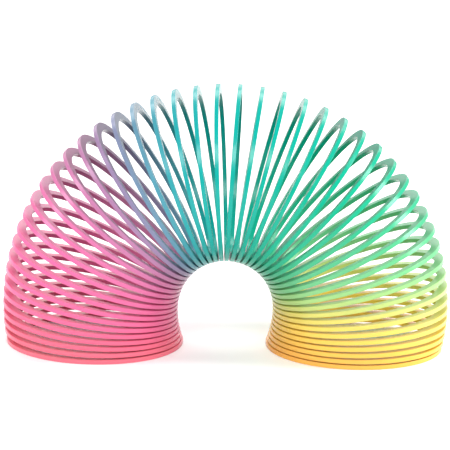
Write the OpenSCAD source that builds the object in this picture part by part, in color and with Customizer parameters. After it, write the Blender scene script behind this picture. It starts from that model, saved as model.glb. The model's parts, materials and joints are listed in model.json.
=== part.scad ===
// Spring coil toy: one flat plastic strip wound into a close coil, standing as an arch on its two ends.
// The strip is split into its turns. Each turn swings against the next about its innermost point.
// +X runs from the left foot to the right foot, +Z is up, and the origin is on the floor under the crown.

/* [Strip] */
// Outer diameter of the coil
coil_d = 75; // [66:1:82]
// Width of the strip, measured towards the coil's axis
strip_w = 4; // [3:0.1:4.6]
// Thickness of the strip, measured along the coil's axis
strip_t = 1.8; // [1.4:0.05:1.85]
// Angle that each loose end of the strip runs on past its last half turn
tail_angle = 25; // [10:1:25]

/* [Arch] */
// Turn at the top of the arch, counted from the left foot
crown_turn = 26; // [22:1:28]
// Distance between turns at the crown, on the inner side of the arch
crown_pitch = 2.15; // [2.05:0.05:2.4]
// Distance between turns at the left foot, on the inner side
left_foot_pitch = 2.05; // [2:0.05:2.6]
// Distance between turns at the right foot, on the inner side
right_foot_pitch = 2.05; // [2:0.05:2.6]
// How far the turns fan out at the left foot, as a share of the crown's fan
left_foot_fan = 0.25; // [0.1:0.05:0.4]
// How far the turns fan out at the right foot, as a share of the crown's fan
right_foot_fan = 0.15; // [0.1:0.05:0.4]
// How wide the evenly fanned crown is
crown_breadth = 2.8; // [2:0.1:4]
// How sharply the fan closes towards the feet
leg_closing = 2.4; // [2:0.1:4]
// How far the left leg leans out at its foot, as its turns slide on each other
left_leg_lean = 19; // [0:1:22]
// How far the right leg leans out at its foot
right_leg_lean = 19; // [0:1:22]
// Share of a turn's pitch that its front half climbs, from the left foot to the crown
front_climb = 0.3; // [0.2:0.05:0.5]

/* [Hidden] */
turns = 48;
last_half = 2 * turns - 2;
arch_angle = 180;
ring_r = (coil_d - strip_w) / 2;
slant_lift = 0.12;
seam_step = 0.02;
$fn = 180;

function turn_name(k) = k == 1 ? "left_foot_turn"
    : k == turns ? "right_foot_turn"
    : str("turn_", k < 10 ? "0" : "", k);

// Colour of the strip from the left foot to the right foot
colours = [
    [1.00, 0.45, 0.52],
    [0.97, 0.42, 0.68],
    [0.90, 0.50, 0.75],
    [0.62, 0.70, 0.84],
    [0.20, 0.80, 0.80],
    [0.10, 0.78, 0.68],
    [0.35, 0.82, 0.60],
    [0.75, 0.88, 0.50],
    [1.00, 0.86, 0.36],
    [1.00, 0.74, 0.38]
];

function turn_colour(k) =
    let (
        place = (k - 1) / (turns - 1) * (len(colours) - 1),
        low = min(floor(place), len(colours) - 2)
    )
    colours[low] * (1 - place + low) + colours[low + 1] * (place - low);

// Half turn j runs from inner point j to outer point j + 1 when j is even, and back when j is odd.
// Even half turns are at the front of the arch, and odd ones are at the back.
function turn_of(j) = floor(j / 2) + 1;

// Distance of a half turn from the crown: 0 at the crown, 1 at either foot
function from_crown(j) =
    let (place = (j + 0.5) / 2)
    place < crown_turn
        ? (crown_turn - place) / (crown_turn - 0.5)
        : (place - crown_turn) / (turns - 1 - crown_turn);

function is_left(j) = (j + 0.5) / 2 < crown_turn;

// Share of the arch's bend that one half turn takes. The half turns on the floor lie flat.
function fan_share(j) =
    let (foot = is_left(j) ? left_foot_fan : right_foot_fan)
    j == 0 || j == last_half ? 0
    : foot + (1 - foot) * (1 - from_crown(j) ^ crown_breadth) ^ leg_closing;

// The start value, then the running total after each step
function running_total(steps, start) = [
    for (i = 0, total = start; i <= len(steps); total = i < len(steps) ? total + steps[i] : total, i = i + 1)
        total
];

function total_of(steps) = running_total(steps, 0)[len(steps)];

fan_shares = [for (j = [0 : last_half]) fan_share(j)];

// Tilt of the strip at each half turn's start: 0 at the left foot, 180 at the right foot
tilts = running_total(fan_shares * arch_angle / total_of(fan_shares), 0);

function mid_tilt(j) = (tilts[j] + tilts[j + 1]) / 2;

// Share of a turn's pitch that its front half climbs. The front halves of both feet lie on the floor.
function front_lift(k) =
    k == 1 ? 0
    : k < crown_turn ? front_climb
    : front_climb * cos(90 * (k - crown_turn) / (turns - crown_turn));

function lift(j) = j % 2 == 0 ? front_lift(turn_of(j)) : 1 - front_lift(turn_of(j));

function foot_pitch(j) = is_left(j) ? left_foot_pitch : right_foot_pitch;

function climb(j) =
    lift(j) * (crown_pitch + (foot_pitch(j) - crown_pitch) * from_crown(j) ^ 2);

// Direction from a half turn to the next one along the arch. The legs lean out towards the feet.
function heading(j) =
    mid_tilt(j) + (is_left(j) ? -left_leg_lean : right_leg_lean) * from_crown(j) ^ 2;

// The right leg's pitch is scaled a little, so that its foot comes down level with the left one
rise = total_of([for (j = [0 : last_half]) max(0, climb(j) * cos(heading(j)))]);
fall = total_of([for (j = [0 : last_half]) max(0, -climb(j) * cos(heading(j)))]);

function advance(j) =
    let (step = climb(j) * (heading(j) > 90 ? rise / fall : 1))
    [step * sin(heading(j)), step * cos(heading(j))];

// Inner chain of the arch, as [x, z] from the left foot's inner point
inner_chain = running_total([for (j = [0 : last_half]) advance(j)], [0, 0]);

function towards_inner(angle) = [cos(angle), -sin(angle)];

function outer_point(k) = inner_chain[2 * k - 1] - 2 * ring_r * towards_inner(tilts[2 * k - 1]);

// Furthest left and right edges of the strip, which centre the arch on the origin
outer_edges = [
    for (k = [1 : turns]) for (side = [-1, 1])
        outer_point(k)[0] - strip_w / 2 * cos(tilts[2 * k - 1]) + side * strip_t / 2 * sin(tilts[2 * k - 1])
];
centre_x = (min(outer_edges) + max(outer_edges)) / 2;

function placed(p) = [p[0] - centre_x, 0, p[1] + strip_t / 2];

// Hinge point between turn k and the next one
hinges = [for (k = [1 : turns - 1]) placed(inner_chain[2 * k])];

// The last back half comes down to the floor at a slant, so its end is lifted to keep its corner off it
function inner_end(j) =
    inner_chain[j % 2 == 0 ? j : j + 1] + [0, j == last_half - 1 ? slant_lift : 0];

function outer_end(j) = outer_point(turn_of(j));

function half_tilt(j) =
    let (d = inner_end(j) - outer_end(j))
    atan2(-d[1], d[0]);

// Radius that takes a half turn from its inner end to its outer end
function half_r(j) = norm(inner_end(j) - outer_end(j)) / 2;

// How far the strip leans from its half turn's plane, so that both halves of a turn meet in one section
function lean(j) = tilts[2 * turn_of(j) - 1] - half_tilt(j);

// The back half turns are a little slimmer all round, which leaves a clean step where two halves join
function slimmer(j) = j % 2 == 1 ? 2 * seam_step : 0;

// Half turn j: an arc of the strip from one angle on through another. Angle 0 is its inner end.
module strip_arc(j, start, sweep) {
    translate(placed((inner_end(j) + outer_end(j)) / 2))
        rotate([0, half_tilt(j), 0])
            rotate_extrude(start = start, angle = sweep)
                translate([half_r(j), 0])
                    rotate(lean(j))
                        square([strip_w - slimmer(j), strip_t - slimmer(j)], center = true);
}

module front_half(k) {
    strip_arc(2 * k - 2, 180, 180);
}

module back_half(k) {
    strip_arc(2 * k - 1, 0, 180);
}

module left_foot_turn() {
    color(turn_colour(1)) {
        strip_arc(0, 180, 180 + tail_angle);
        back_half(1);
    }
}

module turn(k) {
    color(turn_colour(k)) {
        front_half(k);
        back_half(k);
    }
}

module right_foot_turn() {
    color(turn_colour(turns))
        strip_arc(last_half, 180 - tail_angle, 180 + tail_angle);
}

left_foot_turn();
for (k = [2 : turns - 1]) {
    turn(k);
}
right_foot_turn();
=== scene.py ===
"""Spring coil toy: a glossy rainbow coil of flat plastic strip, arched over on a pale studio floor."""
import json
import math

import bpy
import numpy as np
from mathutils import Matrix, Vector

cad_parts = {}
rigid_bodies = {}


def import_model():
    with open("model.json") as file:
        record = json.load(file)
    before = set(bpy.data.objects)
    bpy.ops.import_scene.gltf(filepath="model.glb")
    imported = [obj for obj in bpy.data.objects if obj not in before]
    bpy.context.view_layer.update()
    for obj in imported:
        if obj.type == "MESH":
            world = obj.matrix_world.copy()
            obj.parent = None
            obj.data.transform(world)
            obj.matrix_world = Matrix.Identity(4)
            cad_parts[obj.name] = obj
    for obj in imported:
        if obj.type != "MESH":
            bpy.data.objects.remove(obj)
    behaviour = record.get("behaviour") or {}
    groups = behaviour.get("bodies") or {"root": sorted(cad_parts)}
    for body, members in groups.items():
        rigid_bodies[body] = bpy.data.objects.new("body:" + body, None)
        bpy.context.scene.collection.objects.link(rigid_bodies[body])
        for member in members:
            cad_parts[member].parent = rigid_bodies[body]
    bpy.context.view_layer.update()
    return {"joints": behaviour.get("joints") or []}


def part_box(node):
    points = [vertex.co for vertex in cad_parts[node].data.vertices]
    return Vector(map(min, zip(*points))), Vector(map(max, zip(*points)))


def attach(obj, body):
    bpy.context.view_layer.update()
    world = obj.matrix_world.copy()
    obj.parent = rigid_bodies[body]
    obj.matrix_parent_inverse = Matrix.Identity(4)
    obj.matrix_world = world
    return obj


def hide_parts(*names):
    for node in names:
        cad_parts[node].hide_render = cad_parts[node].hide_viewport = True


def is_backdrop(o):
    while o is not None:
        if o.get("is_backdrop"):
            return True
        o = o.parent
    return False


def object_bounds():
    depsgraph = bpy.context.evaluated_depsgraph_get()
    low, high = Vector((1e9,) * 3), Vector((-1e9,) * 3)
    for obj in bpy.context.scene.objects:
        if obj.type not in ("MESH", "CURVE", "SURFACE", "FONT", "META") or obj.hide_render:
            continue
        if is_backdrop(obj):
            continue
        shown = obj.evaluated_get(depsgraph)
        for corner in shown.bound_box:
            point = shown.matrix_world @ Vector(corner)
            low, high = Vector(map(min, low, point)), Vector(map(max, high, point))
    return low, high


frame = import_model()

MM = 0.001

# The strip's section, and how finely each turn is drawn
CORNER = 0.18 * MM                  # radius of the corners
BULGE = 0.03 * MM                   # bulge of the two narrow walls; the wide faces have half of it
CORNER_STEPS = 4
SEGMENTS = 120                      # rings in one full turn
FEWEST_SEGMENTS = 8

# The coil, as the CAD model has it
CROWN_TURN = 26                     # turn at the top of the arch, counted from the left foot
FRONT_CLIMB = 0.3                   # share of a turn's pitch that its front half climbs
TAIL = 25 / 360                     # how far each loose end runs on past its last half turn, in turns

FLOOR_HALF = 3.0                    # metres
FLOOR_GAP = 0.00002                 # keeps the floor just under the feet


# ---------------------------------------------------------------- the coil's shape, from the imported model
joints = frame["joints"]
turn_names = [joints[0]["parent"]] + [j["child"] for j in joints]
turns = len(turn_names)

left_low, left_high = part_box(turn_names[0])
right_low, right_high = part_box(turn_names[-1])
last_hinge = joints[-1]["pos_m"]
strip_t = right_high[2] - right_low[2]
strip_w = 2 * (last_hinge[0] - right_low[0])
ring_r = (right_high[0] - right_low[0] - strip_w) / 2
first_inner = (left_low[0] + 2 * ring_r + strip_w / 2, strip_t / 2)


def front_share(k):
    """Share of turn k's pitch that its front half climbs: none at either foot."""
    if k == 1:
        return 0.0
    past_crown = max(0.0, (k - CROWN_TURN) / (turns - CROWN_TURN))
    return FRONT_CLIMB * math.cos(math.pi / 2 * past_crown)


def smooth(xs, ys, at):
    """A smooth curve through the points that never overshoots, so that flat stretches stay flat."""
    xs, ys, at = (np.asarray(a, float) for a in (xs, ys, at))
    step = np.diff(xs)
    slope = np.diff(ys) / step
    tangent = np.zeros(len(xs))
    tangent[0], tangent[-1] = slope[0], slope[-1]
    same = slope[:-1] * slope[1:] > 0
    a, b = slope[:-1][same], slope[1:][same]
    tangent[1:-1][same] = 2 * a * b / (a + b)
    i = np.clip(np.searchsorted(xs, at, side="right") - 1, 0, len(step) - 1)
    t = (at - xs[i]) / step[i]
    return ((1 + 2 * t) * (1 - t) ** 2 * ys[i] + t * (1 - t) ** 2 * step[i] * tangent[i]
            + t * t * (3 - 2 * t) * ys[i + 1] + t * t * (t - 1) * step[i] * tangent[i + 1])


# Along the strip, turn k starts at k - 1 and ends at k, with its outer point halfway. The knots are the
# inner points of the half turns, and the right foot's half turn lies flat.
hinge_points = [first_inner] + [(j["pos_m"][0], j["pos_m"][2]) for j in joints]
knots, inner = [0.0], [first_inner]
for k in range(1, turns):
    start, end = np.array(hinge_points[k - 1]), np.array(hinge_points[k])
    knots += [k - 0.5, float(k)]
    inner += [tuple(start + front_share(k) * (end - start)), tuple(end)]
knots.append(turns - 0.5)
inner.append(inner[-1])
inner = np.array(inner)

# Each turn is tilted from the one before by its hinge's travel, and the tilts add up to half a circle
swings = [-math.radians(j["range_deg"][0]) for j in joints]
tilt_knots = [0.0] + [k + 0.5 for k in range(turns - 1)] + [turns - 1.0, turns - 0.5]
tilt_values = [0.0, 0.0] + list(np.cumsum(swings[:-1])) + [math.pi, math.pi]


def frame_at(s):
    """Inner point and the two directions of the strip's section in the arch's plane, at places s along it."""
    held = np.clip(s, 0, turns - 0.5)
    x = smooth(knots, inner[:, 0], held)
    z = smooth(knots, inner[:, 1], held)
    tilt = smooth(tilt_knots, tilt_values, held)
    towards = np.stack([np.cos(tilt), 0 * tilt, -np.sin(tilt)], 1)
    along = np.stack([np.sin(tilt), 0 * tilt, np.cos(tilt)], 1)
    return np.stack([x, 0 * x, z], 1), towards, along


# ---------------------------------------------------------------- the strip's section
def section():
    """The strip's outline as (radial, axial) points with their outward directions: rounded corners, and
    faces that are slightly crowned, as moulded ones are."""
    a, b = strip_w / 2, strip_t / 2
    points, out = [], []
    for side, (cx, cy) in enumerate([(1, -1), (1, 1), (-1, 1), (-1, -1)]):
        first = -90 + 90 * side
        for i in range(CORNER_STEPS + 1):
            angle = math.radians(first + 90 * i / CORNER_STEPS)
            points.append((cx * (a - BULGE - CORNER) + CORNER * math.cos(angle),
                           cy * (b - BULGE / 2 - CORNER) + CORNER * math.sin(angle)))
            out.append((math.cos(angle), math.sin(angle)))
        if side % 2 == 0:
            points.append((cx * a, 0.0))
            out.append((float(cx), 0.0))
        else:
            points.append((0.0, cy * b))
            out.append((0.0, float(cy)))
    return np.array(points), np.array(out)


outline, outward = section()


def strip_mesh(name, rings, normals):
    """A closed mesh through the rings, smooth along the strip and flat across its two ends."""
    count, n = len(rings) - 1, len(outline)
    faces = []
    for i in range(count):
        for j in range(n):
            a, b = i * n + j, i * n + (j + 1) % n
            faces.append((a, b, b + n, a + n))
    faces.append(tuple(reversed(range(n))))
    faces.append(tuple(range(count * n, count * n + n)))

    mesh = bpy.data.meshes.new(name)
    mesh.from_pydata(rings.reshape(-1, 3).tolist(), [], faces)
    mesh.update()
    if mesh.polygons[0].normal @ Vector(normals[0, 0]) < 0:
        mesh.flip_normals()
    mesh.polygons.foreach_set("use_smooth", [True] * len(faces))

    ends = (len(faces) - 2, len(faces) - 1)
    at_vertex = normals.reshape(-1, 3)
    custom = []
    for face in mesh.polygons:
        for loop in face.loop_indices:
            vertex = mesh.loops[loop].vertex_index
            custom.append(tuple(face.normal) if face.index in ends else tuple(at_vertex[vertex]))
    mesh.normals_split_custom_set(custom)
    return mesh


def add_attribute(mesh, name, values):
    """A number or a vector at each vertex, which the plastic reads."""
    values = values.astype(np.float32)
    if values.ndim == 1:
        mesh.attributes.new(name, "FLOAT", "POINT").data.foreach_set("value", values)
    else:
        mesh.attributes.new(name, "FLOAT_VECTOR", "POINT").data.foreach_set("vector", values.ravel())


def turn_piece(k):
    """Turn k of the strip, in place of its CAD node and riding on its body."""
    begin = k - 1 - (TAIL if k == 1 else 0)
    end = k if k < turns else k - 0.5 + TAIL
    count = max(FEWEST_SEGMENTS, round(SEGMENTS * (end - begin)))
    s = np.linspace(begin, end, count + 1)
    inner_at, towards, along = frame_at(s)
    turned = 2 * math.pi * s
    spoke = np.cos(turned)[:, None] * towards - np.sin(turned)[:, None] * np.array([0.0, 1.0, 0.0])
    centre = inner_at - ring_r * towards
    rings = (centre[:, None] + (ring_r + outline[None, :, 0, None]) * spoke[:, None]
             + outline[None, :, 1, None] * along[:, None])
    normals = outward[None, :, 0, None] * spoke[:, None] + outward[None, :, 1, None] * along[:, None]

    name = turn_names[k - 1]
    mesh = strip_mesh("strip_" + name, rings, normals)

    # place counts turns along the strip, and grain is in millimetres along it and round its section.
    # around is -1 on the arch's outer side and 1 on its inner side. across is 0 in the coil and 1 outside it.
    n = len(outline)
    length = s * 2 * math.pi * ring_r / MM
    girth = np.cumsum(np.r_[0, np.hypot(*np.diff(outline, axis=0).T)]) / MM
    add_attribute(mesh, "place", np.repeat(s, n))
    add_attribute(mesh, "around", np.repeat(np.cos(turned), n))
    add_attribute(mesh, "across", np.tile(outline[:, 0] / strip_w + 0.5, count + 1))
    grain = [np.repeat(length, n), np.tile(girth, count + 1), np.zeros(n * (count + 1))]
    add_attribute(mesh, "grain", np.stack(grain, 1))

    obj = bpy.data.objects.new("coil_" + name, mesh)
    bpy.context.scene.collection.objects.link(obj)
    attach(obj, name)
    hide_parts(name)
    return obj


# ---------------------------------------------------------------- the plastic
def linear(value):
    """A colour channel from 0 to 255 as a linear one from 0 to 1."""
    c = value / 255
    return c / 12.92 if c <= 0.04045 else ((c + 0.055) / 1.055) ** 2.4


def srgb(red, green, blue):
    return (linear(red), linear(green), linear(blue), 1.0)


# Colour of the strip at a turn counted from the left foot
RAINBOW = [
    (0.0, srgb(228, 108, 124)),
    (2.5, srgb(226, 98, 126)),
    (6.0, srgb(224, 98, 142)),
    (10.0, srgb(218, 100, 148)),
    (13.0, srgb(200, 106, 152)),
    (15.3, srgb(172, 112, 150)),
    (16.7, srgb(138, 116, 150)),
    (17.8, srgb(106, 126, 152)),
    (19.0, srgb(74, 138, 156)),
    (20.4, srgb(34, 148, 152)),
    (22.5, srgb(0, 154, 146)),
    (27.0, srgb(0, 158, 136)),
    (30.0, srgb(2, 162, 128)),
    (32.5, srgb(38, 166, 124)),
    (34.5, srgb(78, 174, 124)),
    (36.5, srgb(114, 186, 126)),
    (38.2, srgb(158, 196, 118)),
    (40.0, srgb(204, 200, 104)),
    (42.5, srgb(230, 198, 88)),
    (45.0, srgb(232, 186, 78)),
    (47.5, srgb(230, 172, 76)),
    (50.0, srgb(226, 158, 72)),
]


def new_material(name):
    mat = bpy.data.materials.new(name)
    mat.use_nodes = True
    nodes, links = mat.node_tree.nodes, mat.node_tree.links
    nodes.clear()
    return mat, nodes, links


def plastic():
    """Glossy moulded plastic: colours that run along the strip, faint flow marks, a slight haze, and painted
    shade and light on the wall inside the coil.
    """
    mat, nodes, links = new_material("rainbow_plastic")

    def node(kind, **inputs):
        n = nodes.new(kind)
        for name, value in inputs.items():
            n.inputs[name.replace("_", " ")].default_value = value
        return n

    def attribute(name):
        n = nodes.new("ShaderNodeAttribute")
        n.attribute_name = name
        return n

    def maths(operation, *values):
        n = nodes.new("ShaderNodeMath")
        n.operation = operation
        for socket, value in zip(n.inputs, values):
            if isinstance(value, (int, float)):
                socket.default_value = value
            else:
                links.new(value, socket)
        return n.outputs[0]

    place = attribute("place").outputs["Fac"]
    around = attribute("around").outputs["Fac"]
    across = attribute("across").outputs["Fac"]
    grain = attribute("grain").outputs["Vector"]

    # the colours lean round the coil: the inner side of each turn is a little further on than the outer side
    lead = maths("MULTIPLY_ADD", place, 0.036, 0.4)
    turn_at = maths("MULTIPLY_ADD", around, lead, place)
    ramp = nodes.new("ShaderNodeValToRGB")
    ramp.color_ramp.interpolation = "LINEAR"
    top = RAINBOW[-1][0]
    bar = ramp.color_ramp.elements
    while len(bar) < len(RAINBOW):
        bar.new(0.5)
    for element, (turn, colour) in zip(bar, RAINBOW):
        element.position = turn / top
        element.color = colour
    links.new(maths("DIVIDE", turn_at, top), ramp.inputs[0])

    # painted shade and light on the wall inside the coil: painted shade, deeper than the outside, on the left
    # half, and painted light, paler than the outside, on the right half
    painted_inner_shade_and_light = node("ShaderNodeMapRange", From_Min=0.02, From_Max=0.14, To_Max=1.0)
    links.new(maths("MULTIPLY_ADD", place, 0.0125, 0.66), painted_inner_shade_and_light.inputs["To Min"])
    links.new(across, painted_inner_shade_and_light.inputs["Value"])

    # faint flow marks in the moulded colour, drawn out along the strip
    stretch = nodes.new("ShaderNodeVectorMath")
    stretch.operation = "MULTIPLY"
    stretch.inputs[1].default_value = (0.05, 1.4, 1.0)
    links.new(grain, stretch.inputs[0])
    flow = node("ShaderNodeTexNoise", Scale=1.0, Detail=3.0, Roughness=0.55)
    links.new(stretch.outputs[0], flow.inputs["Vector"])
    # the tone's value carries the flow marks times the painted shade and light of the inner wall
    tone = nodes.new("ShaderNodeHueSaturation")
    mottle = maths("MULTIPLY_ADD", flow.outputs["Fac"], 0.12, 0.94)
    links.new(maths("MULTIPLY", mottle, painted_inner_shade_and_light.outputs[0]), tone.inputs["Value"])
    links.new(ramp.outputs["Color"], tone.inputs["Color"])

    shader = node("ShaderNodeBsdfPrincipled", IOR=1.5, Specular_IOR_Level=0.3, Subsurface_Weight=0.06,
                  Subsurface_Radius=(1.0, 0.8, 0.8), Subsurface_Scale=0.8 * MM)
    links.new(tone.outputs["Color"], shader.inputs["Base Color"])

    # a slight haze in the gloss
    haze = node("ShaderNodeTexNoise", Scale=0.35, Detail=4.0, Roughness=0.6)
    links.new(grain, haze.inputs["Vector"])
    links.new(maths("MULTIPLY_ADD", haze.outputs["Fac"], 0.16, 0.14), shader.inputs["Roughness"])

    bump = node("ShaderNodeBump", Strength=0.12, Distance=0.1 * MM)
    links.new(flow.outputs["Fac"], bump.inputs["Height"])
    links.new(bump.outputs["Normal"], shader.inputs["Normal"])

    out = nodes.new("ShaderNodeOutputMaterial")
    links.new(shader.outputs[0], out.inputs["Surface"])
    return mat


glossy = plastic()
for k in range(1, turns + 1):
    turn_piece(k).data.materials.append(glossy)


# ---------------------------------------------------------------- floor, light and camera
def link_matrix(obj, side, up, back, place):
    """Adds an object to the scene, turned to the three directions and moved to its place."""
    bpy.context.scene.collection.objects.link(obj)
    obj.matrix_world = Matrix([[*row] for row in np.r_[np.c_[side, up, back, place], [[0, 0, 0, 1]]]])


def floor():
    mat, nodes, links = new_material("pale_floor")
    shader = nodes.new("ShaderNodeBsdfPrincipled")
    shader.inputs["Base Color"].default_value = (0.95, 0.95, 0.95, 1)
    shader.inputs["Roughness"].default_value = 0.6
    shader.inputs["Specular IOR Level"].default_value = 0.2
    out = nodes.new("ShaderNodeOutputMaterial")
    links.new(shader.outputs[0], out.inputs["Surface"])
    mesh = bpy.data.meshes.new("floor")
    corners = [(x * FLOOR_HALF, y * FLOOR_HALF, 0) for x, y in ((-1, -1), (1, -1), (1, 1), (-1, 1))]
    mesh.from_pydata(corners, [], [(0, 1, 2, 3)])
    mesh.materials.append(mat)
    obj = bpy.data.objects.new("floor", mesh)
    bpy.context.scene.collection.objects.link(obj)
    obj.location.z = min(0.0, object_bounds()[0][2]) - FLOOR_GAP
    obj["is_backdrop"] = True


def softbox(name, place, target, size, power):
    light = bpy.data.lights.new(name, "AREA")
    light.shape = "RECTANGLE"
    light.size, light.size_y = size
    light.energy = power
    place, target = np.array(place, float), np.array(target, float)
    back = (place - target) / np.linalg.norm(place - target)
    side = np.cross([0, 0, 1.0], back)
    side /= np.linalg.norm(side)
    link_matrix(bpy.data.objects.new(name, light), side, np.cross(back, side), back, place)


def studio():
    """A dim white world, with softboxes whose strengths are in watts and whose sizes are in metres."""
    world = bpy.data.worlds.new("studio")
    world.use_nodes = True
    background = world.node_tree.nodes["Background"]
    background.inputs["Color"].default_value = (1, 1, 1, 1)
    background.inputs["Strength"].default_value = 0.45
    bpy.context.scene.world = world
    middle = (0, 0, 0.05)
    softbox("top", (0, 0.0, 0.9), middle, (0.6, 0.5), 14.0)
    softbox("front", (0, -1.1, 0.9), middle, (0.9, 0.5), 14.0)
    softbox("left", (-0.9, -0.1, 0.5), middle, (0.4, 0.6), 5.0)
    softbox("right", (0.9, 0.0, 0.45), middle, (0.4, 0.6), 10.0)
    softbox("low", (0, 1.1, 0.4), middle, (1.4, 0.4), 2.4)
    softbox("back", (0, 0.8, 0.85), (0, 0.1, 0.0), (1.4, 0.4), 8.0)


def camera():
    """The camera in front of the arch, looking a little down. Angles are in radians."""
    yaw, pitch, roll = -0.00793, 0.23987, 0.02264
    forward = np.array([-math.sin(yaw) * math.cos(pitch), math.cos(yaw) * math.cos(pitch), -math.sin(pitch)])
    right = np.array([math.cos(yaw), math.sin(yaw), 0.0])
    up = np.cross(right, forward)
    across = right * math.cos(roll) + up * math.sin(roll)
    above = up * math.cos(roll) - right * math.sin(roll)
    data = bpy.data.cameras.new("camera")
    data.sensor_width = 36
    data.lens = 272.8
    data.clip_start, data.clip_end = 0.01, 20
    obj = bpy.data.objects.new("camera", data)
    place = np.array([-12.101, -1400.0, 394.163]) * MM
    link_matrix(obj, across, above, -forward, place)
    bpy.context.scene.camera = obj


floor()
studio()
camera()
bpy.context.scene.view_settings.view_transform = "Standard"
